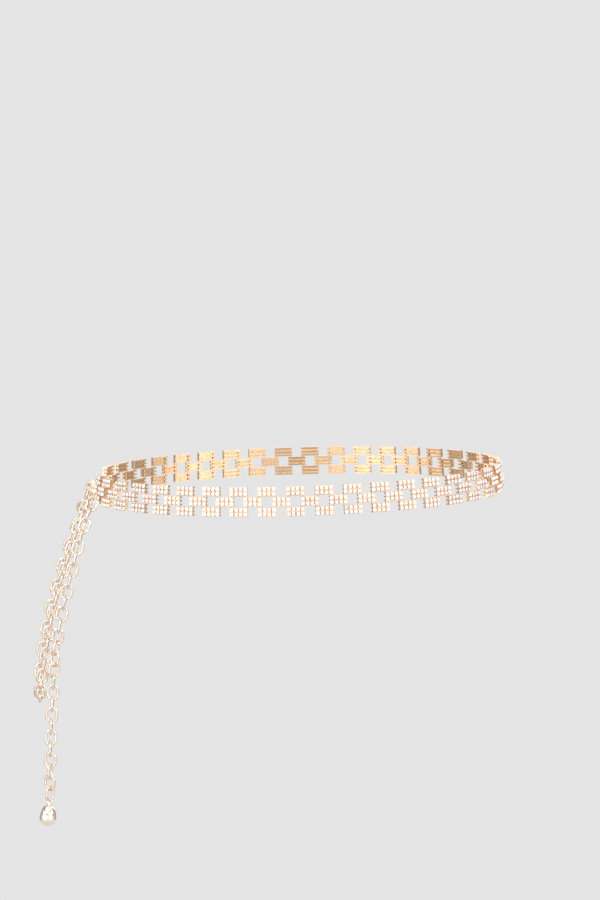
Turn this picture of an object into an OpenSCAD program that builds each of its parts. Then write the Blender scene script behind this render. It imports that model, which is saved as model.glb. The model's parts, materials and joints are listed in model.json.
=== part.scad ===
// Waist chain: a flexible band of rhinestone tiles in three staggered rows,
// closed at the wearer's right hip by a lobster clasp, with a looped swag chain
// and a hanging tail chain that ends in a ball.
// Millimetres. +Z is up, the wearer's front faces -Y, and the origin is the
// middle of the waist, level with the middle of the band.

/* [Band] */
// Number of outer links, each with one top and one bottom tile
columns = 39; // [24:1:48]
// Depth of the waist as a share of its width
waist_ratio = 0.765; // [0.65:0.005:0.95]
// How far the lower edge of the band leans outwards, in degrees
band_flare = 5; // [0:0.5:8]
// How far the wearer's left side hangs above the right side, in degrees
band_roll = 1.7; // [0:0.1:5]

/* [Tiles] */
// Distance between neighbouring stones
stone_pitch = 2.7; // [2.5:0.05:3.2]
// Stones along a tile
stones_long = 4; // [4:1:5]
// Stones up a tile
stones_high = 2; // [2:1:3]
// Thickness of the plate that carries the stones
plate_t = 0.9; // [0.7:0.05:1.1]
// Depth of a tile from its face to the back of its ribs
tile_depth = 2.7; // [2.6:0.05:3.2]
// Height of each of the three ribs behind the plate
rib_h = 0.9; // [0.6:0.05:1.1]
// Bevel round the face of a tile
face_bevel = 0.2; // [0.1:0.05:0.4]
// Open height between two rows of tiles
row_gap = 0.65; // [0.4:0.05:1.2]
// Overlap of a middle tile with the tiles above and below it
tile_overlap = 2.35; // [2.2:0.05:2.7]

/* [Hinges] */
// Diameter of the upright hinge pins
pin_d = 0.9; // [0.7:0.05:1]
// Distance from the end of an outer tile to the middle of its pin
pin_inset = 0.6; // [0.55:0.05:0.75]
// Distance from the face of a tile to the middle of the pins
pin_depth = 1.75; // [1.7:0.01:1.85]
// Clearance all round a pin in its bore
pin_clear = 0.13; // [0.12:0.01:0.15]

/* [Closure] */
// Distance between the two end eyes of the band
closure_gap = 14; // [13:0.5:15]
// Diameter of the wire of the end eyes
eye_wire = 1; // [0.8:0.05:1.1]
// Diameter of the hole in each end eye
eye_hole = 2.6; // [2.5:0.05:3]
// Diameter of the wire of the jump rings
ring_wire = 1; // [0.8:0.05:1.05]
// Inner diameter of the jump rings
ring_hole = 6.4; // [6.2:0.1:7]
// Height between the two jump rings in the hook
ring_step = 1.4; // [1.35:0.05:1.6]
// Place of the swag's own ring round the back ring, in degrees from the back eye
swag_ring_place = 71.5; // [62:0.5:80]
// Heading of the swag ring's flat, in degrees from the line out through that place
swag_ring_turn = -155; // [-165:1:-145]
// Outward tilt of the swag ring from hanging straight down, in degrees
swag_ring_tilt = 22; // [15:1:25]

/* [Clasp] */
// Diameter of the round head of the clasp
clasp_head_d = 8.2; // [8:0.1:9]
// Diameter of the hole in the hook
hook_hole_d = 5.2; // [5:0.1:5.6]
// Thickness of the clasp
clasp_t = 2.1; // [2:0.05:2.6]
// Distance from the middle of the hook's hole to the middle of the tail eye
clasp_reach = 9; // [8.8:0.1:11]
// Diameter of the hole in the tail eye
tail_hole = 2.7; // [2.5:0.05:3]
// Diameter of the wire of the tail eye
tail_wire = 1; // [0.9:0.05:1.2]
// Thickness of the lever between the two cheeks of the clasp
lever_t = 0.9; // [0.7:0.05:1]
// Diameter of the pin that the lever turns on
lever_pin_d = 0.8; // [0.7:0.05:0.9]
// Clearance between the lever and its cheeks and pin
lever_clear = 0.06; // [0.05:0.01:0.08]
// How far the clasp swings forward from hanging straight down, in degrees
clasp_swing = 50; // [40:1:60]
// How far the clasp's flat face turns from lying along the closure, in degrees
clasp_turn = 3.5; // [-2:0.5:9]

/* [Chain] */
// Diameter of the chain's wire
chain_wire = 1.5; // [1.2:0.05:1.55]
// Inner length of a chain link
link_hole_l = 7.45; // [7.3:0.05:7.6]
// Outer width of a chain link
link_w = 7.6; // [7.2:0.05:7.8]
// Least play between two links of a chain
link_play = 0.35; // [0.33:0.01:0.4]

/* [Ball] */
// Diameter of the ball
ball_d = 10.2; // [8:0.1:12]
// Diameter of the dome that makes the ball's upper half egg-shaped
dome_d = 9.1; // [7:0.1:9.6]
// Diameter of the dimples in the dome
dimple_d = 0.9; // [0.5:0.1:1.2]
// Dimples in each of the dome's two rows
dimple_count = 7; // [5:1:9]
// Diameter of the stem between the ball and its eye
stem_d = 3; // [2.6:0.1:4]
// Height of the stem above the ball
stem_h = 1.5; // [0.6:0.1:2]
// Lean of the ball from hanging straight down, in degrees
ball_lean = 9; // [0:1:12]

/* [Hidden] */
$fn = 32;

// Least clearance between pieces that hang in each other, and how far cuts run past a face
hang_clear = 0.13;
over = 0.5;

// Tile sizes that follow from the stones
tile_w = stones_long * stone_pitch;
tile_h = stones_high * stone_pitch;
row_pitch = tile_h + row_gap;
column_pitch = 2 * (tile_w - tile_overlap);
outer_reach = tile_w / 2 - pin_inset;
middle_reach = column_pitch / 2 - outer_reach;

// End eye: a wire ring sunk into the end of the plate
eye_r = (eye_hole + eye_wire) / 2;
eye_sink = 0.9;
eye_depth = 0.55;
eye_out = eye_r + eye_wire / 2 - eye_sink;
eye_y = eye_depth - pin_depth;
end_reach = middle_reach + tile_w / 2 + eye_out;

// Waist curve through the hinge pins: an ellipse whose girth fits the band and its closure
girth = columns * column_pitch - 2 * middle_reach + 2 * end_reach + closure_gap;
ratio_term = pow((1 - waist_ratio) / (1 + waist_ratio), 2);
unit_girth = PI * (1 + waist_ratio) * (1 + 3 * ratio_term / (10 + sqrt(4 - 3 * ratio_term)));
waist_rx = girth / unit_girth;
waist_ry = waist_rx * waist_ratio;
// Direction of the middle of the closure, from the front round to the wearer's left
closure_angle = -92.8;
first_pin_angle = step_angle(closure_angle, closure_gap / 2 + end_reach);
pin_angles = march(first_pin_angle, 0);
last_pin_angle = pin_angles[2 * columns - 1];

// Closure: two jump rings meet in the hook, which bulges outwards from the two end eyes
ring_r = (ring_hole + ring_wire) / 2;
ring_pull = 0.3;
hook_set = 0.5;
front_eye = eye_place(step_angle(first_pin_angle, -end_reach), first_pin_angle, -1);
back_eye = eye_place(last_pin_angle, step_angle(last_pin_angle, end_reach), 1);
eye_middle = (front_eye + back_eye) / 2;
eye_across = unit(back_eye - front_eye);
hook_out = sqrt(pow(2 * ring_r + ring_pull, 2) - pow(norm(back_eye - front_eye) / 2, 2));
outward = [-eye_across[1], eye_across[0]] * (eye_across[1] > 0 ? 1 : -1);
hook_point = eye_middle + hook_out * outward;
clasp_at = hook_point - hook_set * outward;
front_ring_at = hook_point + ring_r * unit(front_eye - hook_point);
back_ring_at = hook_point + ring_r * unit(back_eye - hook_point);
swag_spot_angle = atan2(back_eye[1] - hook_point[1], back_eye[0] - hook_point[0]) + swag_ring_place;
swag_ring_heading = swag_spot_angle + swag_ring_turn;
swag_ring_hang = ring_r - ring_wire - 2 * hang_clear;
swag_hold_spread = 20;
clasp_heading = atan2(outward[1], outward[0]) + 90 + clasp_turn;
clasp_drop = 0.6;

// Lever: its pin, its arm and how it fits the clasp, measured from the middle of the hook's hole
head_r = clasp_head_d / 2;
hook_hole_r = hook_hole_d / 2;
lever_pin_x = -1;
lever_pin_z = -5;
mouth_r = 6.3;
mouth_low = -2;
lever_gap = 0.15;
hub_r = 1;
nub_r = 0.85;
jaw_lap = 0.5;
arm_out = 0.86 * head_r;
arm_in = 0.66 * hook_hole_r;
arm_top = mouth_low - 0.1;
arm_foot = 0.8 * hub_r;
nub_x = -0.98 * head_r;
nub_z = mouth_low - 0.6;
pin_short = 0.2;
slot_half = lever_t / 2 + lever_clear;
slot_extra = 0.4;
slot_right = 0.4;
tail_r = (tail_hole + tail_wire) / 2;
neck_w = 2.6;
shoulder_x = 0.86 * head_r;
shoulder_z = -0.5 * head_r;

// Chain: joints lie along the route, and each link reaches past its joints by joint_half
wire_r = chain_wire / 2;
bend_r = (link_w - chain_wire) / 2;
joint_half = (chain_wire + link_play) / 2;
// The swag turns sharply at its foot and hangs askew in its ring, so it has more play there
swag_play = link_play + 0.15;
swag_clear = 0.2;

// Ball: its eye, how deep the stem sinks in, the rise of the dome and the rows of dimples
ball_eye_r = 1.6;
ball_eye_wire = 0.9;
stem_sink = 0.4;
dome_rise = 0.35 * ball_d;
dimple_depth = 0.6;
dimple_latitudes = [28, 0];

// The tail is twisted a quarter turn part of the way down, and a little more near its end:
// each twist is [first link, links it is spread over, degrees]
tail_twists = [[12, 4, 90], [22, 4, 35]];
tail_end_turn = tail_twists[1][2];

// Places where the two chains hang
clasp_tail = in_band_frame(clasp_place([0, 0, -clasp_reach]));
swag_front_hold = in_band_frame(swag_ring_point(swag_hold_spread));
swag_back_hold = in_band_frame(swag_ring_point(-swag_hold_spread));

// Routes of the chains as worn, down over the hip: chosen points, each [x, y, z]. The tail's are
// measured from the clasp's tail eye, and the swag's from between its two holds on its ring
tail_bends = [
    [-1.6, -3, -6.2], [-5.4, -5.7, -16.7], [-9.6, -7.2, -30.6], [-13, -7.8, -44.3], [-16.4, -7.8, -58.1],
    [-19.6, -7.8, -71.8], [-22.2, -7.8, -86.1], [-24.1, -7.8, -100.3], [-25.4, -7.8, -121.7],
    [-26.3, -7.8, -136], [-27, -7.8, -150.3], [-27.4, -7.8, -165.2], [-27.7, -7.8, -177.5],
    [-27.8, -7.8, -188]];
swag_bends = [
    [-1.1, -4.8, -6.3], [-3.7, -7.6, -12], [-8.1, -11, -24.8], [-12.8, -12.2, -39.9],
    [-16.8, -12.4, -52.1], [-20.8, -12.4, -67.1], [-24.1, -12.4, -82.1], [-26.3, -12.4, -97.1],
    [-28.6, -12.4, -110.1], [-30.3, -9.8, -121.6], [-31.3, -1.4, -128.1], [-31.8, 7, -121.6],
    [-31.6, 9.6, -110.1], [-29.8, 9.6, -97.1], [-27.3, 9.6, -84.1], [-23.8, 9.1, -69.1],
    [-19.3, 8.6, -53.1], [-14.3, 8.2, -37.7], [-9.3, 7.2, -24.3], [-4.7, 4.5, -11.5], [-2.9, 2.1, -5.1]];
tail_route = [for (bend = tail_bends) clasp_tail + bend];
swag_route = [for (bend = swag_bends) (swag_front_hold + swag_back_hold) / 2 + bend];

// Unit vector along v
function unit(v) = v / norm(v);

// Point of the waist curve at angle t, measured from the front
function waist_point(t) = [waist_rx * sin(t), -waist_ry * cos(t)];

// Angle one straight reach further round the waist curve; a negative reach steps back
function step_angle(t, reach) = refine(t, reach, reach / waist_rx * 180 / PI, 8);
function refine(t, reach, turn, rounds) =
    rounds == 0 ? t + turn
    : refine(t, reach, turn * abs(reach) / norm(waist_point(t + turn) - waist_point(t)), rounds - 1);

// Angles of all the hinge pins, two for each outer link
function march(t, k) =
    k == 2 * columns ? []
    : concat([t], march(step_angle(t, k % 2 == 0 ? 2 * outer_reach : 2 * middle_reach), k + 1));

// Middle of an end eye, set out from the pin line by the depth of the plate
function eye_place(t1, t2, side) =
    let(a = waist_point(t1), b = waist_point(t2), along = unit(b - a), at = side < 0 ? a : b)
    at + eye_y * [-along[1], along[0]];

// Turn about Y and about Z
function turned_y(p, a) = [p[0] * cos(a) + p[2] * sin(a), p[1], p[2] * cos(a) - p[0] * sin(a)];
function turned_z(p, a) = [p[0] * cos(a) - p[1] * sin(a), p[0] * sin(a) + p[1] * cos(a), p[2]];

// Places of the clasp and of the rings, and the roll of the whole band
function clasp_place(p) =
    turned_z(turned_y(p, -clasp_swing), clasp_heading) + [clasp_at[0], clasp_at[1], -clasp_drop];
function ring_point(at, a) = [at[0] + ring_r * cos(a), at[1] + ring_r * sin(a), -ring_step / 2];
function swag_ring_spot(p) =
    turned_z(turned_y(p, swag_ring_tilt), swag_ring_heading) + ring_point(back_ring_at, swag_spot_angle);
function swag_ring_point(a) = swag_ring_spot([ring_r * sin(a), 0, -swag_ring_hang - ring_r * cos(a)]);
function in_band_frame(p) = turned_y(p, -band_roll);

// First joint of a chain that hangs in a wire of radius r round the point p
function hang_joint(p, toward, r) = p - unit(toward - p) * (r + wire_r + hang_clear - joint_half);

// Smooth curve through the route's points
function bend_point(a, b, c, d, u) =
    0.5 * (2 * b + (c - a) * u + (2 * a - 5 * b + 4 * c - d) * u * u + (3 * b - 3 * c + d - a) * u * u * u);
function smooth(points, steps) =
    let(last = len(points) - 1)
    concat([for (i = [0:last - 1], s = [0:steps - 1])
        bend_point(points[max(i - 1, 0)], points[i], points[i + 1], points[min(i + 2, last)], s / steps)],
        [points[last]]);

// Lengths along a curve, and the point at a given length
function lengths(curve, i = 0, sum = 0) =
    i == len(curve) - 1 ? [sum] : concat([sum], lengths(curve, i + 1, sum + norm(curve[i + 1] - curve[i])));
function span_at(run, s, low, high) =
    high - low < 2 ? low
    : let(mid = floor((low + high) / 2))
    run[mid] > s ? span_at(run, s, low, mid) : span_at(run, s, mid, high);
function point_at(curve, run, s) =
    let(i = span_at(run, s, 0, len(run) - 1), u = (s - run[i]) / (run[i + 1] - run[i]))
    curve[i] + u * (curve[i + 1] - curve[i]);

// Evenly spaced joints of a chain along its route: an odd number of links, as few as the play allows
function joints(route, play) =
    let(curve = smooth(route, 8), run = lengths(curve), total = run[len(run) - 1])
    let(links = 2 * ceil((total / (link_hole_l - play) - 1) / 2) + 1)
    [for (k = [0:links]) k == links ? curve[len(curve) - 1] : point_at(curve, run, total * k / links)];

// Twist of link k of a chain, and a ramp from 0 to 1
function ramp(x) = min(1, max(0, x));
function twist_of(k, twists) =
    len(twists) == 0 ? 0 : [for (t = twists) t[2] * ramp((k - t[0]) / t[1])] * [for (t = twists) 1];

// Ring of round wire in the XY plane
module wire_ring(r, wire) {
    rotate_extrude($fn = 48) translate([r, 0]) circle(d = wire);
}

// Oval chain link along X, lying in the XY plane
module chain_link() {
    straight = link_hole_l + chain_wire - 2 * bend_r;
    for (side = [0, 180]) {
        rotate([0, 0, side]) {
            translate([straight / 2, 0, 0])
                rotate([0, 0, -90]) rotate_extrude(angle = 180, $fn = 48)
                    translate([bend_r, 0]) circle(d = chain_wire, $fn = 24);
            translate([-straight / 2, bend_r, 0])
                rotate([0, 90, 0]) cylinder(h = straight, d = chain_wire, $fn = 24);
        }
    }
}

// Turns X along a direction, and Z to face square across it and across the hip
module along_chain(along) {
    face = unit(cross(along, [1, 0, 0]));
    side = cross(face, along);
    multmatrix([[along[0], side[0], face[0], 0], [along[1], side[1], face[1], 0],
        [along[2], side[2], face[2], 0]]) children();
}

// Chain of links, each turned a quarter about the chain from the one before, and by the twists
module chain_of_links(route, play, first_turn, twists) {
    stops = joints(route, play);
    for (k = [0:len(stops) - 2])
        translate((stops[k] + stops[k + 1]) / 2) along_chain(unit(stops[k + 1] - stops[k]))
            rotate([first_turn + k * 90 + twist_of(k, twists), 0, 0]) chain_link();
}

// Plate with three ribs behind it, along X, its face towards -Y
module tile_bar() {
    face = -pin_depth;
    plate_back = face + plate_t;
    back = face + tile_depth;
    top = tile_h / 2;
    rib = rib_h / 2;
    rotate([90, 0, 90]) linear_extrude(height = tile_w, center = true) polygon([
        [face + face_bevel, top], [back, top], [back, top - rib_h], [plate_back, top - rib_h],
        [plate_back, rib], [back, rib], [back, -rib], [plate_back, -rib],
        [plate_back, rib_h - top], [back, rib_h - top], [back, -top], [face + face_bevel, -top],
        [face, face_bevel - top], [face, top - face_bevel]]);
}

module pin_bore(x) {
    translate([x, 0, 0]) cylinder(h = tile_h + 2 * over, d = pin_d + 2 * pin_clear, center = true);
}

module outer_link() {
    for (side = [-1, 1]) {
        translate([0, 0, side * row_pitch]) tile_bar();
        translate([side * outer_reach, 0, 0])
            cylinder(h = 2 * row_pitch + tile_h - rib_h, d = pin_d, center = true);
    }
}

module middle_tile() {
    difference() {
        tile_bar();
        for (side = [-1, 1]) pin_bore(side * middle_reach);
    }
}

// Last middle tile: bored on one side, with a ring eye beyond its other end
module end_tile(side) {
    difference() {
        tile_bar();
        pin_bore(side * middle_reach);
    }
    translate([-side * (tile_w / 2 + eye_out), eye_y, side * ring_step / 2])
        rotate([90, 0, 0]) wire_ring(eye_r, eye_wire);
}

// Puts a link between two angles on the waist curve
module on_waist(t1, t2, shift) {
    a = waist_point(t1);
    b = waist_point(t2);
    middle = (a + b) / 2 + shift * unit(b - a);
    translate([middle[0], middle[1], 0])
        rotate([-band_flare, 0, atan2(b[1] - a[1], b[0] - a[0])]) children();
}

module rolled() {
    rotate([0, -band_roll, 0]) children();
}

module outer_links() {
    color("gold") rolled()
        for (k = [0:columns - 1]) on_waist(pin_angles[2 * k], pin_angles[2 * k + 1], 0) outer_link();
}

module middle_tiles() {
    color("khaki") rolled()
        for (k = [0:columns - 2]) on_waist(pin_angles[2 * k + 1], pin_angles[2 * k + 2], 0) middle_tile();
}

module front_end_tile() {
    eye_angle = step_angle(first_pin_angle, -end_reach);
    color("goldenrod") rolled()
        on_waist(eye_angle, first_pin_angle, end_reach / 2 - middle_reach) end_tile(1);
}

module back_end_tile() {
    eye_angle = step_angle(last_pin_angle, end_reach);
    color("goldenrod") rolled()
        on_waist(last_pin_angle, eye_angle, middle_reach - end_reach / 2) end_tile(-1);
}

module front_ring() {
    color("peru") rolled()
        translate([front_ring_at[0], front_ring_at[1], ring_step / 2]) wire_ring(ring_r, ring_wire);
}

module back_ring() {
    color("peru") rolled()
        translate([back_ring_at[0], back_ring_at[1], -ring_step / 2]) wire_ring(ring_r, ring_wire);
}

module swag_ring() {
    spot = ring_point(back_ring_at, swag_spot_angle);
    color("peru") rolled() translate(spot) rotate([0, swag_ring_tilt, swag_ring_heading])
        translate([0, 0, -swag_ring_hang]) rotate([90, 0, 0]) wire_ring(ring_r, ring_wire);
}

// Puts the clasp on the two rings, in its own frame with the hook's hole at the origin
module at_clasp() {
    rolled() translate([clasp_at[0], clasp_at[1], -clasp_drop])
        rotate([0, -clasp_swing, clasp_heading]) children();
}

// Flat outline in the clasp's XZ plane, given a thickness along Y
module flat(t) {
    rotate([90, 0, 0]) linear_extrude(height = t, center = true) children();
}

// Sector that the lever sweeps at the mouth of the hook, round its pin
module mouth(r, low) {
    intersection() {
        translate([lever_pin_x, lever_pin_z]) circle(r = r, $fn = 96);
        translate([-2 * head_r, low]) square([2 * head_r + lever_pin_x, 2 * head_r]);
    }
}

module clasp_outline() {
    difference() {
        union() {
            circle(r = head_r, $fn = 64);
            polygon([[-shoulder_x, shoulder_z], [shoulder_x, shoulder_z],
                [neck_w / 2, tail_r - clasp_reach], [-neck_w / 2, tail_r - clasp_reach]]);
        }
        circle(r = hook_hole_r, $fn = 64);
        mouth(mouth_r, mouth_low);
    }
}

// Part of the hook that opens with the lever
module lever_jaw() {
    intersection() {
        difference() {
            circle(r = head_r, $fn = 64);
            circle(r = hook_hole_r, $fn = 64);
        }
        mouth(mouth_r - lever_gap, mouth_low - jaw_lap);
    }
}

// Jaw, arm, hub and thumb nub of the lever
module lever_plate() {
    flat(lever_t) lever_jaw();
    flat(lever_t) polygon([[-arm_out, arm_top], [-arm_in, arm_top],
        [lever_pin_x + hub_r / 2, lever_pin_z], [lever_pin_x - arm_foot, lever_pin_z]]);
    translate([lever_pin_x, 0, lever_pin_z]) flat(lever_t) circle(r = hub_r);
    translate([nub_x, 0, nub_z]) flat(lever_t) circle(r = nub_r);
}

module clasp_body() {
    color("gold") at_clasp() {
        slot_h = mouth_low - lever_pin_z + hub_r + 2 * slot_extra;
        difference() {
            flat(clasp_t) clasp_outline();
            translate([-2 * head_r, -slot_half, lever_pin_z - hub_r - slot_extra])
                cube([2 * head_r + slot_right, 2 * slot_half, slot_h]);
        }
        translate([lever_pin_x, 0, lever_pin_z])
            rotate([90, 0, 0]) cylinder(h = clasp_t - pin_short, d = lever_pin_d, center = true);
        translate([0, 0, -clasp_reach]) rotate([90, 0, 0]) wire_ring(tail_r, tail_wire);
    }
}

module clasp_lever() {
    color("khaki") at_clasp() difference() {
        lever_plate();
        translate([lever_pin_x, 0, lever_pin_z]) rotate([90, 0, 0])
            cylinder(h = lever_t + 2 * over, d = lever_pin_d + 2 * lever_clear, center = true);
    }
}

// Swag: from its ring down over the hip and back up to the same ring
swag_full = concat(
    [hang_joint(swag_front_hold, swag_route[0], ring_wire / 2 + swag_clear)], swag_route,
    [hang_joint(swag_back_hold, swag_route[len(swag_route) - 1], ring_wire / 2 + swag_clear)]);
module swag_chain() {
    color("burlywood") chain_of_links(swag_full, swag_play, 90, []);
}

// Tail: from the clasp's tail eye down to the ball
tail_hold = clasp_tail + tail_r * unit(tail_route[0] - clasp_tail);
tail_full = concat([hang_joint(tail_hold, tail_route[0], tail_wire / 2 + hang_clear)], tail_route);
module tail_chain() {
    color("wheat") chain_of_links(tail_full, link_play, 0, tail_twists);
}

// Ball with its dome, made smooth by the cone that touches both
module egg() {
    slope = asin((ball_d - dome_d) / 2 / dome_rise);
    low = ball_d / 2 * sin(slope);
    high = dome_rise + dome_d / 2 * sin(slope);
    sphere(d = ball_d, $fn = 64);
    translate([0, 0, dome_rise]) sphere(d = dome_d, $fn = 64);
    translate([0, 0, low])
        cylinder(h = high - low, r1 = ball_d / 2 * cos(slope), r2 = dome_d / 2 * cos(slope), $fn = 64);
}

// Two staggered rows of dimples, round the middle of the dome
module dimples() {
    for (row = [0, 1], k = [0:dimple_count - 1])
        rotate([0, -dimple_latitudes[row], (k + 0.25 + row / 2) * 360 / dimple_count])
            translate([dome_d / 2 - dimple_depth, 0, 0])
                rotate([0, 90, 0]) cylinder(h = dimple_depth + over, d = dimple_d);
}

module end_ball() {
    stops = joints(tail_full, link_play);
    last = stops[len(stops) - 1];
    past_joint = (link_hole_l + chain_wire - norm(last - stops[len(stops) - 2])) / 2;
    eye_drop = ball_eye_r + past_joint - wire_r - ball_eye_wire / 2 - hang_clear;
    dome_z = stem_sink - ball_eye_r - stem_h - dome_d / 2;
    color("gold") translate(last - [0, 0, eye_drop]) rotate([0, ball_lean, -tail_end_turn]) {
        rotate([90, 0, 0]) wire_ring(ball_eye_r, ball_eye_wire);
        translate([0, 0, -ball_eye_r - stem_h]) cylinder(h = stem_h, d = stem_d);
        difference() {
            translate([0, 0, dome_z - dome_rise]) egg();
            translate([0, 0, dome_z]) dimples();
        }
    }
}

outer_links();
middle_tiles();
front_end_tile();
back_end_tile();
front_ring();
back_ring();
swag_ring();
clasp_body();
clasp_lever();
swag_chain();
tail_chain();
end_ball();
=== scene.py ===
import json
import math

import bmesh
import bpy
from mathutils import Matrix, Vector


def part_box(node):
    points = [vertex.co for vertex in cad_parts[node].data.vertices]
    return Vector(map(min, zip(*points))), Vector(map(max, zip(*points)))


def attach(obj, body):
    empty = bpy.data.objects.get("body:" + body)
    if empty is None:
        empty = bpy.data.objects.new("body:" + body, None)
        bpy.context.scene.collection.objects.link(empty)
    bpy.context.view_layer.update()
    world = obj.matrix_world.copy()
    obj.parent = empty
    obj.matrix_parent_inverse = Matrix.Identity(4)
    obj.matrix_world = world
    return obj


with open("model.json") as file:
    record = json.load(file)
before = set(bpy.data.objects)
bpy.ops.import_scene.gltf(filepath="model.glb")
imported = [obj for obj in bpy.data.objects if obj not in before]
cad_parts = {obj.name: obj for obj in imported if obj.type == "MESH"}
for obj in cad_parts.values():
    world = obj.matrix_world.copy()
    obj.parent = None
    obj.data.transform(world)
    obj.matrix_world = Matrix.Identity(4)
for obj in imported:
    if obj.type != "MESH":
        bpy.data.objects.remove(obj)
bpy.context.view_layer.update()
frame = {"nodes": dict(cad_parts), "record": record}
nodeObjects = frame["nodes"]
print("frame loaded:", len(nodeObjects), "nodes")

mm = 0.001


# small helpers that the pieces share
def newObject(name, data):
    obj = bpy.data.objects.new(name, data)
    bpy.context.scene.collection.objects.link(obj)
    return obj


def meshFrom(name, points, faces):
    mesh = bpy.data.meshes.new(name)
    mesh.from_pydata(points, [], faces)
    mesh.update()
    return mesh


def fixNormals(mesh):
    work = bmesh.new()
    work.from_mesh(mesh)
    bmesh.ops.recalc_face_normals(work, faces=work.faces)
    work.to_mesh(mesh)
    work.free()
    return mesh


def newMaterial(name):
    material = bpy.data.materials.new(name)
    material.use_nodes = True
    return material, material.node_tree, material.node_tree.nodes["Principled BSDF"]


def newNode(tree, kind, **settings):
    node = tree.nodes.new(kind)
    for key, value in settings.items():
        setattr(node, key, value)
    return node


def setInputs(node, values):
    for key, value in values.items():
        node.inputs[key].default_value = value


def addSockets(tree, way, kinds):
    for name, kind in kinds.items():
        tree.interface.new_socket(name, in_out=way, socket_type="NodeSocket" + kind)


# camera, a little above the band
cameraSettings = {
    "distance": 2.3,        # metres from the middle of the band
    "elevation": 7.6,       # degrees above level
    "aimDown": 7.14,        # degrees that the lens dips
    "sideways": 0.0007,     # metres
    "lens": 149.6,
    "sensor": 36.0,
    "nearest": 0.05,
    "farthest": 400,
}


def makeCamera(settings):
    data = bpy.data.cameras.new("photoCamera")
    data.sensor_fit = "VERTICAL"
    data.sensor_height = settings["sensor"]
    data.sensor_width = settings["sensor"]
    data.lens = settings["lens"]
    data.clip_start = settings["nearest"]
    data.clip_end = settings["farthest"]
    camera = newObject("photoCamera", data)
    rise = math.radians(settings["elevation"])
    camera.location = (settings["sideways"], -settings["distance"] * math.cos(rise),
                       settings["distance"] * math.sin(rise))
    camera.rotation_euler = (math.radians(90 - settings["aimDown"]), 0, 0)
    bpy.context.scene.camera = camera


makeCamera(cameraSettings)
bpy.context.scene.view_settings.view_transform = "Standard"
print("camera placed")


# flat round floor in the tone of the air round it
# it is small, so that the metal mirrors the light boxes past its rim
floorSettings = {
    "height": -0.55,
    "rings": (0.35, 0.7, 1.0),   # metres from the middle
    "steps": 64,
    "colour": (0.561, 0.561, 0.566, 1),
    "roughness": 1.0,
    "gloss": 0.0,
}


def makeFloor(settings):
    steps, height = settings["steps"], settings["height"]
    points = [(0, 0, height)]
    for radius in settings["rings"]:
        for k in range(steps):
            turn = 2 * math.pi * k / steps
            points.append((radius * math.cos(turn), radius * math.sin(turn), height))
    faces = [(0, 1 + k, 1 + (k + 1) % steps) for k in range(steps)]
    for ring in range(len(settings["rings"]) - 1):
        low, high = 1 + ring * steps, 1 + (ring + 1) * steps
        for k in range(steps):
            n = (k + 1) % steps
            faces.append((low + k, high + k, high + n, low + n))
    mesh = meshFrom("studioFloor", points, faces)
    material, _, shader = newMaterial("studioPaper")
    setInputs(shader, {"Base Color": settings["colour"], "Roughness": settings["roughness"],
                       "Specular IOR Level": settings["gloss"]})
    mesh.materials.append(material)
    newObject("studioFloor", mesh)


makeFloor(floorSettings)


# soft boxes round a dim room, and two lamps for the glints
lightSettings = {
    "room": 0.12,           # how bright the room is between the boxes
    "seen": 0.78,           # how bright the air beyond the floor looks
    "boxes": {
        # direction, cosines of the angles at which it starts and is full, brightness
        "left": {"toward": (-0.62, -0.72, 0.30), "rim": 0.62, "core": 0.85, "power": 1.25},
        "right": {"toward": (0.66, -0.74, 0.12), "rim": 0.70, "core": 0.90, "power": 1.0},
        "top": {"toward": (0.05, 0.10, 1.0), "rim": 0.66, "core": 0.88, "power": 1.3},
        "back": {"toward": (0.30, 0.90, 0.35), "rim": 0.80, "core": 0.94, "power": 1.0},
        "leftSide": {"toward": (-1.0, 0.25, 0.05), "rim": 0.60, "core": 0.92, "power": 0.36},
        "rightSide": {"toward": (1.0, 0.25, 0.05), "rim": 0.60, "core": 0.92, "power": 0.36},
        "front": {"toward": (0.05, -1.0, 0.05), "rim": 0.20, "core": 0.95, "power": 0.28},
    },
    "lamps": {
        # direction, brightness, how many degrees wide it looks, colour
        "glintLeft": {"from": (-0.50, -0.78, 0.62), "power": 1.1, "spread": 9,
                      "colour": (1.0, 0.985, 0.96)},
        "glintRight": {"from": (0.72, -0.62, 0.42), "power": 0.7, "spread": 14,
                       "colour": (0.97, 0.985, 1.0)},
    },
}


def makeLamps(lamps):
    for name, lamp in lamps.items():
        data = bpy.data.lights.new(name, "SUN")
        data.energy = lamp["power"]
        data.angle = math.radians(lamp["spread"])
        data.color = lamp["colour"]
        obj = newObject(name, data)
        obj.location = lamp["from"]
        obj.rotation_euler = (-Vector(lamp["from"])).to_track_quat("-Z", "Y").to_euler()


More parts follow.
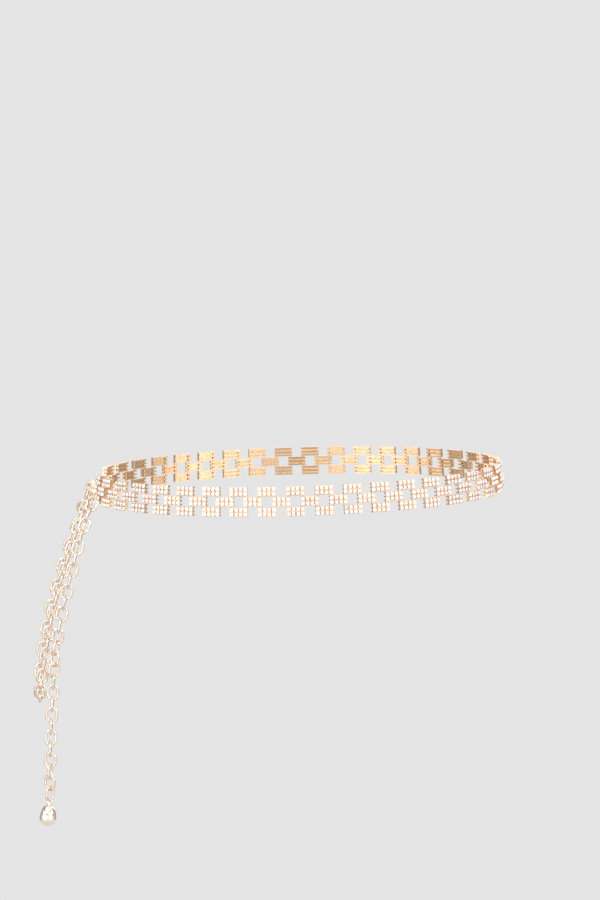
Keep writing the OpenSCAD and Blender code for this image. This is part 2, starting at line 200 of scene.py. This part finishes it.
def makeRoom(settings):
    world = bpy.data.worlds.new("studioAir")
    bpy.context.scene.world = world
    world.use_nodes = True
    tree = world.node_tree
    link = tree.links.new
    facing = newNode(tree, "ShaderNodeTexCoord")
    total = None
    for name, box in settings["boxes"].items():
        dot = newNode(tree, "ShaderNodeVectorMath", operation="DOT_PRODUCT")
        dot.inputs[1].default_value = Vector(box["toward"]).normalized()
        link(facing.outputs["Generated"], dot.inputs[0])
        glow = newNode(tree, "ShaderNodeMapRange", interpolation_type="SMOOTHSTEP", label=name)
        setInputs(glow, {"From Min": box["rim"], "From Max": box["core"], "To Max": box["power"]})
        link(dot.outputs["Value"], glow.inputs["Value"])
        more = newNode(tree, "ShaderNodeMath", operation="ADD")
        more.inputs[1].default_value = settings["room"]
        link(glow.outputs["Result"], more.inputs[0])
        if total is not None:
            link(total, more.inputs[1])
        total = more.outputs[0]
    path = newNode(tree, "ShaderNodeLightPath")
    seen = newNode(tree, "ShaderNodeMix", data_type="FLOAT")
    seen.inputs["B"].default_value = settings["seen"]
    link(path.outputs["Is Camera Ray"], seen.inputs["Factor"])
    link(total, seen.inputs["A"])
    sky = tree.nodes["Background"]
    sky.inputs["Color"].default_value = (1, 1, 1, 1)
    link(seen.outputs["Result"], sky.inputs["Strength"])


makeLamps(lightSettings["lamps"])
makeRoom(lightSettings)
print("floor and lights placed")


# gold plating: one shared group gives its tone, stains, roughness and fine scratches
platingWear = {
    "cloudDetail": 5,
    "cloudRoughness": 0.62,
    "stainStart": 0.36,             # cloud at which a stain starts, and at which it is full
    "stainFull": 0.66,
    "scratchScale": 2600.0,
    "scratchDetail": 2,
    "scratchTurn": (0.4, 0.9, 0.3),
    "scratchStretch": (1.0, 0.12, 1.0),
    "mostWorn": 2.0,                # stain and scratch together, at their most
    "cleanRoughness": 0.6,          # shares of a finish's own roughness
    "wornRoughness": 1.6,
    "bumpStrength": 0.12,
    "bumpDepth": 0.02 * mm,
}

platingLooks = {
    "tile_metal": {"Colour": (0.94, 0.72, 0.50), "Deep": (0.72, 0.39, 0.17),
                   "Roughness": 0.20, "Cloud Scale": 520, "Tarnish": 0.45},
    "ring_metal": {"Colour": (0.97, 0.82, 0.65), "Deep": (0.72, 0.38, 0.16),
                   "Roughness": 0.15, "Cloud Scale": 600, "Tarnish": 0.50},
    "clasp_metal": {"Colour": (0.97, 0.82, 0.65), "Deep": (0.72, 0.38, 0.16),
                    "Roughness": 0.16, "Cloud Scale": 480, "Tarnish": 0.50},
    "chain_metal": {"Colour": (0.94, 0.84, 0.73), "Deep": (0.70, 0.36, 0.15),
                    "Roughness": 0.14, "Cloud Scale": 450, "Tarnish": 0.55},
    "ball_metal": {"Colour": (0.98, 0.87, 0.73), "Deep": (0.90, 0.70, 0.50),
                   "Roughness": 0.24, "Cloud Scale": 260, "Tarnish": 0.35},
    # painted shade between the stones: the cup walls get a darker, more orange copy of the tile
    # gold
    "cup_metal": {"Colour": (0.72, 0.31, 0.11), "Deep": (0.45, 0.17, 0.05),
                  "Roughness": 0.28, "Cloud Scale": 700, "Tarnish": 0.50},
}


def makePlatingGroup(wear):
    tree = bpy.data.node_groups.new("platingFinish", "ShaderNodeTree")
    link = tree.links.new
    addSockets(tree, "INPUT", {"Place": "Vector", "Colour": "Color", "Deep": "Color",
                               "Tarnish": "Float", "Cloud Scale": "Float",
                               "Scratch Scale": "Float", "Roughness": "Float"})
    addSockets(tree, "OUTPUT", {"Colour": "Color", "Roughness": "Float", "Height": "Float"})
    given = newNode(tree, "NodeGroupInput")
    done = newNode(tree, "NodeGroupOutput")

    # stains, which also turn the tone deeper
    clouds = newNode(tree, "ShaderNodeTexNoise")
    setInputs(clouds, {"Detail": wear["cloudDetail"], "Roughness": wear["cloudRoughness"]})
    link(given.outputs["Place"], clouds.inputs["Vector"])
    link(given.outputs["Cloud Scale"], clouds.inputs["Scale"])
    stain = newNode(tree, "ShaderNodeMapRange", interpolation_type="SMOOTHSTEP")
    setInputs(stain, {"From Min": wear["stainStart"], "From Max": wear["stainFull"]})
    link(clouds.outputs["Fac"], stain.inputs["Value"])
    amount = newNode(tree, "ShaderNodeMath", operation="MULTIPLY")
    link(stain.outputs["Result"], amount.inputs[0])
    link(given.outputs["Tarnish"], amount.inputs[1])
    tone = newNode(tree, "ShaderNodeMix", data_type="RGBA")
    link(amount.outputs[0], tone.inputs["Factor"])
    link(given.outputs["Colour"], tone.inputs["A"])
    link(given.outputs["Deep"], tone.inputs["B"])
    link(tone.outputs["Result"], done.inputs["Colour"])

    # scratches, drawn out one way
    stretch = newNode(tree, "ShaderNodeMapping")
    setInputs(stretch, {"Rotation": wear["scratchTurn"], "Scale": wear["scratchStretch"]})
    link(given.outputs["Place"], stretch.inputs["Vector"])
    scratches = newNode(tree, "ShaderNodeTexNoise")
    scratches.inputs["Detail"].default_value = wear["scratchDetail"]
    link(stretch.outputs["Vector"], scratches.inputs["Vector"])
    link(given.outputs["Scratch Scale"], scratches.inputs["Scale"])
    link(scratches.outputs["Fac"], done.inputs["Height"])

    # both make it rougher
    worn = newNode(tree, "ShaderNodeMath", operation="ADD")
    link(stain.outputs["Result"], worn.inputs[0])
    link(scratches.outputs["Fac"], worn.inputs[1])
    rougher = newNode(tree, "ShaderNodeMapRange")
    setInputs(rougher, {"From Max": wear["mostWorn"], "To Min": wear["cleanRoughness"],
                        "To Max": wear["wornRoughness"]})
    link(worn.outputs[0], rougher.inputs["Value"])
    rough = newNode(tree, "ShaderNodeMath", operation="MULTIPLY")
    link(rougher.outputs["Result"], rough.inputs[0])
    link(given.outputs["Roughness"], rough.inputs[1])
    link(rough.outputs[0], done.inputs["Roughness"])
    return tree


def makePlatingMaterial(name, group, look, wear):
    material, tree, shader = newMaterial(name)
    link = tree.links.new
    shader.inputs["Metallic"].default_value = 1.0
    place = newNode(tree, "ShaderNodeTexCoord")
    finish = newNode(tree, "ShaderNodeGroup", node_tree=group)
    finish.inputs["Scratch Scale"].default_value = wear["scratchScale"]
    for key, value in look.items():
        finish.inputs[key].default_value = (*value, 1) if isinstance(value, tuple) else value
    bump = newNode(tree, "ShaderNodeBump")
    setInputs(bump, {"Strength": wear["bumpStrength"], "Distance": wear["bumpDepth"]})
    link(place.outputs["Object"], finish.inputs["Place"])
    link(finish.outputs["Colour"], shader.inputs["Base Color"])
    link(finish.outputs["Roughness"], shader.inputs["Roughness"])
    link(finish.outputs["Height"], bump.inputs["Height"])
    link(bump.outputs["Normal"], shader.inputs["Normal"])
    return material


platingGroup = makePlatingGroup(platingWear)
plating = {name: makePlatingMaterial(name, platingGroup, look, platingWear)
           for name, look in platingLooks.items()}


# painted shade in the ball's dimples: what lies inside its dome's surface is darkened
dimpleShade = {
    "ballRadius": 5.1 * mm,
    "domeRadius": 4.55 * mm,
    "domeRise": 3.57 * mm,  # from the ball's middle to the dome's
    "lean": 9,              # degrees from upright, as the ball hangs
    "turn": 35,             # degrees round, towards which it leans
    "start": 0.04 * mm,     # how deep the painted shade starts, and is full
    "full": 0.22 * mm,
    # the painted shade's dark brown
    "colour": (0.10, 0.045, 0.03, 1),
}


def domeMiddle(paintedShade):
    low, high = (Vector(corner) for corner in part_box("end_ball"))
    lean, turn = math.radians(paintedShade["lean"]), math.radians(-paintedShade["turn"])
    up = Vector((math.sin(lean) * math.cos(turn), math.sin(lean) * math.sin(turn),
                 math.cos(lean)))
    ball = Vector(((low.x + high.x) / 2, (low.y + high.y) / 2, low.z + paintedShade["ballRadius"]))
    return ball + paintedShade["domeRise"] * up


# paints shade into the dimples: dark brown is mixed into the base colour by depth inside the dome
def darkenDimples(material, paintedShade):
    tree = material.node_tree
    link = tree.links.new
    colour = tree.nodes["Principled BSDF"].inputs["Base Color"]
    place = newNode(tree, "ShaderNodeTexCoord")
    away = newNode(tree, "ShaderNodeVectorMath", operation="DISTANCE")
    away.inputs[1].default_value = domeMiddle(paintedShade)
    link(place.outputs["Object"], away.inputs[0])
    inside = newNode(tree, "ShaderNodeMapRange")
    setInputs(inside, {"From Min": paintedShade["domeRadius"] - paintedShade["start"],
                       "From Max": paintedShade["domeRadius"] - paintedShade["full"]})
    link(away.outputs["Value"], inside.inputs["Value"])
    mixed = newNode(tree, "ShaderNodeMix", data_type="RGBA")
    mixed.inputs["B"].default_value = paintedShade["colour"]
    link(colour.links[0].from_socket, mixed.inputs["A"])
    link(inside.outputs["Result"], mixed.inputs["Factor"])
    link(mixed.outputs["Result"], colour)


darkenDimples(plating["ball_metal"], dimpleShade)
for part in frame["record"]["subparts"]:
    obj = nodeObjects[part["node"]]
    if not obj.material_slots:
        obj.data.materials.append(None)
    for place in obj.material_slots:
        place.material = plating[part["material_slot"]]
print("plating set on", len(nodeObjects), "nodes")


# where the tiles' faces are: the same chords round the loop as the solids
tileBand = {
    "columns": 39,
    "waistRatio": 0.765,     # loop's depth over its width
    "flare": 5.0,            # degrees that the lower edge leans out
    "roll": 1.7,             # degrees that the +X side hangs higher
    "closureAngle": -92.8,   # degrees round from the front
    "closureGap": 14.0 * mm,  # between the two end eyes
    "stonePitch": 2.7 * mm,
    "stonesLong": 4,
    "stonesHigh": 2,
    "rowGap": 0.65 * mm,     # between the rows of tiles
    "overlap": 2.35 * mm,    # of each tile with the next row's
    "pinInset": 0.6 * mm,    # from an outer tile's end to its pin
    "faceDepth": 1.75 * mm,  # from the pins out to a tile's face
    "eyeOut": 1.4 * mm,      # how far an end eye's middle is past its tile
    "stepRounds": 9,         # rounds in which a step's turn is closed in on
}


def bandMeasures(band):
    long = band["stonesLong"] * band["stonePitch"]
    high = band["stonesHigh"] * band["stonePitch"]
    columnPitch = 2 * (long - band["overlap"])
    outerReach = long / 2 - band["pinInset"]
    middleReach = columnPitch / 2 - outerReach
    endReach = middleReach + long / 2 + band["eyeOut"]
    girth = band["columns"] * columnPitch - 2 * middleReach + 2 * endReach + band["closureGap"]
    # the girth of an ellipse of half width 1, by the usual close formula
    ratio = band["waistRatio"]
    term = ((1 - ratio) / (1 + ratio)) ** 2
    unitGirth = math.pi * (1 + ratio) * (1 + 3 * term / (10 + math.sqrt(4 - 3 * term)))
    halfWide = girth / unitGirth
    return {"rowPitch": high + band["rowGap"], "outerReach": outerReach,
            "middleReach": middleReach, "endReach": endReach,
            "halfWide": halfWide, "halfDeep": halfWide * ratio}


def tilePlaces(band):
    size = bandMeasures(band)
    endReach, middleReach = size["endReach"], size["middleReach"]

    def pointAt(turn):
        return Vector((size["halfWide"] * math.sin(turn), -size["halfDeep"] * math.cos(turn), 0))

    def stepFrom(turn, reach):
        step = reach / size["halfWide"]
        for _ in range(band["stepRounds"]):
            step *= abs(reach) / (pointAt(turn + step) - pointAt(turn)).length
        return turn + step

    roll = Matrix.Rotation(math.radians(-band["roll"]), 4, "Y")
    lean = Matrix.Rotation(math.radians(-band["flare"]), 4, "X")

    def placeBetween(turnA, turnB, shift, up):
        a, b = pointAt(turnA), pointAt(turnB)
        along = (b - a).normalized()
        heading = Matrix.Rotation(math.atan2(along.y, along.x), 4, "Z")
        face = Matrix.Translation((0, -band["faceDepth"], up))
        return roll @ Matrix.Translation((a + b) / 2 + shift * along) @ heading @ lean @ face

    places = []
    turn = stepFrom(math.radians(band["closureAngle"]), band["closureGap"] / 2 + endReach)
    eyeTurn = stepFrom(turn, -endReach)
    places.append(placeBetween(eyeTurn, turn, endReach / 2 - middleReach, 0))
    for column in range(band["columns"]):
        nextTurn = stepFrom(turn, 2 * size["outerReach"])
        for row in (-1, 1):
            places.append(placeBetween(turn, nextTurn, 0, row * size["rowPitch"]))
        turn = nextTurn
        if column < band["columns"] - 1:
            nextTurn = stepFrom(turn, 2 * middleReach)
            places.append(placeBetween(turn, nextTurn, 0, 0))
            turn = nextTurn
    eyeTurn = stepFrom(turn, endReach)
    places.append(placeBetween(turn, eyeTurn, middleReach - endReach / 2, 0))
    return places


def tilePointObject(band):
    places = tilePlaces(band)
    mesh = meshFrom("tileFaces", [m.to_translation() for m in places], [])
    turns = mesh.attributes.new("tileTurn", "FLOAT_VECTOR", "POINT")
    for k, m in enumerate(places):
        turns.data[k].vector = m.to_euler("XYZ")
    return newObject("tileFaces", mesh)


# node tree that lays a grid of one small form on every tile
def makeTileScatterTree():
    tree = bpy.data.node_groups.new("tileScatter", "GeometryNodeTree")
    link = tree.links.new
    addSockets(tree, "INPUT", {"Tile Faces": "Geometry", "Form": "Object", "Across": "Int",
                               "Up": "Int", "Pitch Across": "Float", "Pitch Up": "Float",
                               "Tilt": "Float", "Seed": "Int", "Finish": "Material"})
    addSockets(tree, "OUTPUT", {"Laid": "Geometry"})
    given = newNode(tree, "NodeGroupInput")
    done = newNode(tree, "NodeGroupOutput")

    def spread(count, pitch):
        gaps = newNode(tree, "ShaderNodeMath", operation="SUBTRACT")
        gaps.inputs[1].default_value = 1
        link(given.outputs[count], gaps.inputs[0])
        reach = newNode(tree, "ShaderNodeMath", operation="MULTIPLY")
        link(gaps.outputs[0], reach.inputs[0])
        link(given.outputs[pitch], reach.inputs[1])
        return reach.outputs[0]

    def store(name, domain, geometry, value):
        marked = newNode(tree, "GeometryNodeStoreNamedAttribute", domain=domain, data_type="FLOAT")
        marked.inputs["Name"].default_value = name
        link(geometry, marked.inputs["Geometry"])
        link(value, marked.inputs["Value"])
        return marked.outputs["Geometry"]

    def chance():
        node = newNode(tree, "FunctionNodeRandomValue", data_type="FLOAT")
        link(given.outputs["Seed"], node.inputs["Seed"])
        return node.outputs[1]   # the float one

    # one tile's spots, upright, and then every tile's
    grid = newNode(tree, "GeometryNodeMeshGrid")
    link(spread("Across", "Pitch Across"), grid.inputs["Size X"])
    link(spread("Up", "Pitch Up"), grid.inputs["Size Y"])
    link(given.outputs["Across"], grid.inputs["Vertices X"])
    link(given.outputs["Up"], grid.inputs["Vertices Y"])
    upright = newNode(tree, "GeometryNodeTransform")
    upright.inputs["Rotation"].default_value = (math.radians(90), 0, 0)
    link(grid.outputs["Mesh"], upright.inputs["Geometry"])
    loose = newNode(tree, "GeometryNodeMeshToPoints")
    link(upright.outputs["Geometry"], loose.inputs["Mesh"])
    turn = newNode(tree, "GeometryNodeInputNamedAttribute", data_type="FLOAT_VECTOR")
    turn.inputs["Name"].default_value = "tileTurn"
    onTiles = newNode(tree, "GeometryNodeInstanceOnPoints")
    link(given.outputs["Tile Faces"], onTiles.inputs["Points"])
    link(loose.outputs["Points"], onTiles.inputs["Instance"])
    link(turn.outputs["Attribute"], onTiles.inputs["Rotation"])
    spots = newNode(tree, "GeometryNodeRealizeInstances")
    link(onTiles.outputs["Instances"], spots.inputs["Geometry"])

    # the form on each spot, a little uneven
    form = newNode(tree, "GeometryNodeObjectInfo", transform_space="ORIGINAL")
    link(given.outputs["Form"], form.inputs["Object"])
    onSpots = newNode(tree, "GeometryNodeInstanceOnPoints")
    link(spots.outputs["Geometry"], onSpots.inputs["Points"])
    link(form.outputs["Geometry"], onSpots.inputs["Instance"])
    link(turn.outputs["Attribute"], onSpots.inputs["Rotation"])
    backwards = newNode(tree, "ShaderNodeMath", operation="MULTIPLY")
    backwards.inputs[1].default_value = -1
    link(given.outputs["Tilt"], backwards.inputs[0])
    tilt = newNode(tree, "FunctionNodeRandomValue", data_type="FLOAT_VECTOR")
    for end, amount in (("Min", backwards.outputs[0]), ("Max", given.outputs["Tilt"])):
        sameAllWays = newNode(tree, "ShaderNodeCombineXYZ")
        for socket in sameAllWays.inputs:
            link(amount, socket)
        link(sameAllWays.outputs[0], tilt.inputs[end])
    link(given.outputs["Seed"], tilt.inputs["Seed"])
    uneven = newNode(tree, "GeometryNodeRotateInstances")
    link(onSpots.outputs["Instances"], uneven.inputs["Instances"])
    link(tilt.outputs["Value"], uneven.inputs["Rotation"])

    # a number for each form and for each facet, which the materials read
    marked = store("formSeed", "INSTANCE", uneven.outputs["Instances"], chance())
    real = newNode(tree, "GeometryNodeRealizeInstances")
    link(marked, real.inputs["Geometry"])
    facets = store("facetSeed", "FACE", real.outputs["Geometry"], chance())
    finish = newNode(tree, "GeometryNodeSetMaterial")
    link(facets, finish.inputs["Geometry"])
    link(given.outputs["Finish"], finish.inputs["Material"])
    link(finish.outputs["Geometry"], done.inputs["Laid"])
    return tree


def layOnTiles(tree, faces, name, form, values):
    holder = newObject(name + "Maker", faces.data)
    maker = holder.modifiers.new("lay", "NODES")
    maker.node_group = tree
    ids = {item.name: item.identifier for item in tree.interface.items_tree
           if item.item_type == "SOCKET" and item.in_out == "INPUT"}
    maker[ids["Form"]] = form
    for key, value in values.items():
        maker[ids[key]] = value
    graph = bpy.context.evaluated_depsgraph_get()
    graph.update()
    mesh = bpy.data.meshes.new_from_object(holder.evaluated_get(graph))
    mesh.name = name
    holder.modifiers.remove(maker)
    bpy.data.objects.remove(holder)
    bpy.data.objects.remove(form)
    return newObject(name, mesh)


tileFaces = tilePointObject(tileBand)
scatterTree = makeTileScatterTree()
print("tile faces placed:", len(tileFaces.data.vertices))


# stones: cut squares with clipped corners, a table and 24 crown facets
stoneCut = {
    "halfWide": 1.09 * mm,
    "clip": 0.44 * mm,      # how much each corner is cut back
    "seat": 0.12 * mm,      # how deep the stone sinks in its cup
    "girdle": 0.30 * mm,    # heights over the tile
    "mid": 0.60 * mm,
    "table": 0.86 * mm,
    "midShare": 0.86,       # shares of the stone's width
    "tableShare": 0.56,
    "tilt": 2.2,            # degrees, at most
    "seed": 11,
}


def clippedSquare(half, clip):
    near = half - clip
    return [(half, near), (near, half), (-near, half), (-half, near),
            (-half, -near), (-near, -half), (near, -half), (half, -near)]


def stoneForm(cut):
    points, faces = [], []

    def ring(corners, share, height):
        first = len(points)
        points.extend((x * share, -height, z * share) for x, z in corners)
        return range(first, len(points))

    rim = clippedSquare(cut["halfWide"], cut["clip"])
    middles = [((ax + bx) / 2, (az + bz) / 2)
               for (ax, az), (bx, bz) in zip(rim, rim[1:] + rim[:1])]
    foot = ring(rim, 1, -cut["seat"])
    girdle = ring(rim, 1, cut["girdle"])
    mid = ring(middles, cut["midShare"], cut["mid"])
    table = ring(rim, cut["tableShare"], cut["table"])
    faces.append(tuple(table))
    faces.append(tuple(reversed(foot)))
    for k in range(len(rim)):
        n = (k + 1) % len(rim)
        before = (k - 1) % len(rim)
        faces.append((foot[k], foot[n], girdle[n], girdle[k]))
        faces.append((girdle[k], girdle[n], mid[k]))
        faces.append((table[k], mid[before], girdle[k], mid[k]))
        faces.append((table[n], table[k], mid[k]))
    return newObject("stoneForm", fixNormals(meshFrom("stoneForm", points, faces)))


stoneLook = {
    "tints": {0.0: (0.84, 0.91, 1.0), 0.2: (1.0, 1.0, 1.0), 0.42: (1.0, 0.92, 0.95),
              0.6: (1.0, 1.0, 0.99), 0.8: (0.91, 1.0, 0.96), 1.0: (1.0, 0.96, 0.88)},
    # painted fire: facets tinted at random, standing in for coloured glints
    "paintedFire": {0.0: (0.68, 0.86, 1.0), 0.1: (1.0, 1.0, 1.0), 0.88: (1.0, 1.0, 1.0),
             0.95: (1.0, 0.80, 0.86), 1.0: (1.0, 0.88, 0.64)},
    "darkestPaintedFacet": 0.55,      # the darkest facet's painted shade: facets are darkened at random, standing in for facets that mirror dark surroundings
    "shuffle": 7.3,         # so that a facet's painted shade doesn't follow its painted fire
    "paintedGlow": 0.26,        # painted glow: share of the stone's colour given off as light, standing in for light that the foil sends back
    "foil": 0.45,           # how metallic its foiled back makes it
    "roughness": 0.06,
    "coat": 0.6,
    "coatRoughness": 0.02,
    "ior": 1.58,
}


def fillRamp(ramp, stops):
    spots = sorted(stops)
    ramp.elements[0].position = spots[0]
    ramp.elements[0].color = (*stops[spots[0]], 1)
    ramp.elements[1].position = spots[-1]
    ramp.elements[1].color = (*stops[spots[-1]], 1)
    for spot in spots[1:-1]:
        ramp.elements.new(spot).color = (*stops[spot], 1)


def makeStoneMaterial(look):
    material, tree, shader = newMaterial("foiledStone")
    link = tree.links.new

    def read(name):
        return newNode(tree, "ShaderNodeAttribute", attribute_name=name).outputs["Fac"]

    def ramped(value, stops):
        node = newNode(tree, "ShaderNodeValToRGB")
        fillRamp(node.color_ramp, stops)
        link(value, node.inputs["Fac"])
        return node.outputs["Color"]

    def times(a, b):
        node = newNode(tree, "ShaderNodeMix", data_type="RGBA", blend_type="MULTIPLY")
        node.inputs["Factor"].default_value = 1.0
        link(a, node.inputs["A"])
        link(b, node.inputs["B"])
        return node.outputs["Result"]

    facet = read("facetSeed")
    shuffled = newNode(tree, "ShaderNodeMath", operation="MULTIPLY")
    shuffled.inputs[1].default_value = look["shuffle"]
    link(facet, shuffled.inputs[0])
    again = newNode(tree, "ShaderNodeMath", operation="FRACT")
    link(shuffled.outputs[0], again.inputs[0])
    shade = newNode(tree, "ShaderNodeMapRange")
    shade.inputs["To Min"].default_value = look["darkestPaintedFacet"]
    link(again.outputs[0], shade.inputs["Value"])
    tinted = times(ramped(read("formSeed"), look["tints"]), ramped(facet, look["paintedFire"]))
    colour = times(tinted, shade.outputs["Result"])
    link(colour, shader.inputs["Base Color"])
    # painted glow: the stone's colour, with its painted facet shade and fire, is given off as
    # light
    link(colour, shader.inputs["Emission Color"])
    setInputs(shader, {"Emission Strength": look["paintedGlow"], "Metallic": look["foil"],
                       "Roughness": look["roughness"], "Coat Weight": look["coat"],
                       "Coat Roughness": look["coatRoughness"], "IOR": look["ior"]})
    return material


rhinestones = layOnTiles(scatterTree, tileFaces, "rhinestones", stoneForm(stoneCut), {
    "Across": tileBand["stonesLong"], "Up": tileBand["stonesHigh"],
    "Pitch Across": tileBand["stonePitch"], "Pitch Up": tileBand["stonePitch"],
    "Tilt": math.radians(stoneCut["tilt"]), "Seed": stoneCut["seed"],
    "Finish": makeStoneMaterial(stoneLook)})
print("stones laid:", len(rhinestones.data.polygons), "faces")


# claws where the stones meet
clawShape = {
    "radius": 0.36 * mm,
    "height": 0.80 * mm,
    "sides": 8,
    # shares of the radius and of the height, from the foot up
    "profile": ((1.0, -0.1), (1.0, 0.55), (0.82, 0.82), (0.42, 0.97)),
    "rowPitch": 2.46 * mm,  # a little under the stones', so that the outer claws have footing
    "tilt": 1.0,            # degrees, at most
    "seed": 5,
}


def clawForm(shape):
    points, faces = [], []
    sides, profile = shape["sides"], shape["profile"]
    for share, up in profile:
        for k in range(sides):
            turn = 2 * math.pi * (k + 0.5) / sides
            points.append((share * shape["radius"] * math.cos(turn), -up * shape["height"],
                           share * shape["radius"] * math.sin(turn)))
    last = (len(profile) - 1) * sides
    for low in range(0, last, sides):
        high = low + sides
        for k in range(sides):
            n = (k + 1) % sides
            faces.append((low + k, low + n, high + n, high + k))
    faces.append(tuple(range(sides)))
    faces.append(tuple(range(last, last + sides)))
    mesh = fixNormals(meshFrom("clawForm", points, faces))
    for poly in mesh.polygons:
        poly.use_smooth = True
    return newObject("clawForm", mesh)


claws = layOnTiles(scatterTree, tileFaces, "stoneClaws", clawForm(clawShape), {
    "Across": tileBand["stonesLong"] - 1, "Up": tileBand["stonesHigh"] + 1,
    "Pitch Across": tileBand["stonePitch"], "Pitch Up": clawShape["rowPitch"],
    "Tilt": math.radians(clawShape["tilt"]), "Seed": clawShape["seed"],
    "Finish": plating["tile_metal"]})
print("claws laid:", len(claws.data.polygons), "faces")


# cup walls: a bar between each two columns of stones, and a low spine between the rows
wallShape = {
    "thickness": 0.56 * mm,
    "height": 0.56 * mm,
    "spineThickness": 0.20 * mm,
    "spineHeight": 0.24 * mm,
    "endInset": 0.14 * mm,
    "rooted": 0.05 * mm,    # how deep a bar goes into the plate
    "shoulder": 0.75,       # share of the height at which a bar starts to narrow
    "crown": 0.6,           # share of its thickness at the top
    "seed": 3,
}


def wallForm(shape, band):
    points, faces = [], []
    corners = ((-1, -1), (1, -1), (1, 1), (-1, 1))

    def bar(x, halfX, halfZ, height):
        first = len(points)
        for up, share in ((-shape["rooted"], 1.0), (height * shape["shoulder"], 1.0),
                          (height, shape["crown"])):
            narrow = min(halfX, halfZ) * (1 - share)
            for sx, sz in corners:
                points.append((x + sx * (halfX - narrow), -up, sz * (halfZ - narrow)))
        top = len(points) - len(corners)
        for low in range(first, top, len(corners)):
            high = low + len(corners)
            for k in range(len(corners)):
                n = (k + 1) % len(corners)
                faces.append((low + k, low + n, high + n, high + k))
        faces.append(tuple(range(first, first + len(corners))))
        faces.append(tuple(range(top, top + len(corners))))

    pitch, inset = band["stonePitch"], shape["endInset"]
    halfLong = band["stonesLong"] * pitch / 2
    halfHigh = band["stonesHigh"] * pitch / 2
    for k in range(1, band["stonesLong"]):
        bar(k * pitch - halfLong, shape["thickness"] / 2, halfHigh - inset, shape["height"])
    bar(0, halfLong - inset, shape["spineThickness"] / 2, shape["spineHeight"])
    return newObject("wallForm", fixNormals(meshFrom("wallForm", points, faces)))


# the cup walls take cup_metal, the darker copy of the gold, which paints shade between the stones
walls = layOnTiles(scatterTree, tileFaces, "cupWalls", wallForm(wallShape, tileBand), {
    "Across": 1, "Up": 1, "Pitch Across": 0.0, "Pitch Up": 0.0,
    "Tilt": 0.0, "Seed": wallShape["seed"], "Finish": plating["cup_metal"]})
print("cup walls laid:", len(walls.data.polygons), "faces")

bpy.data.objects.remove(tileFaces)
for piece in (rhinestones, claws, walls):
    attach(piece, "belt")
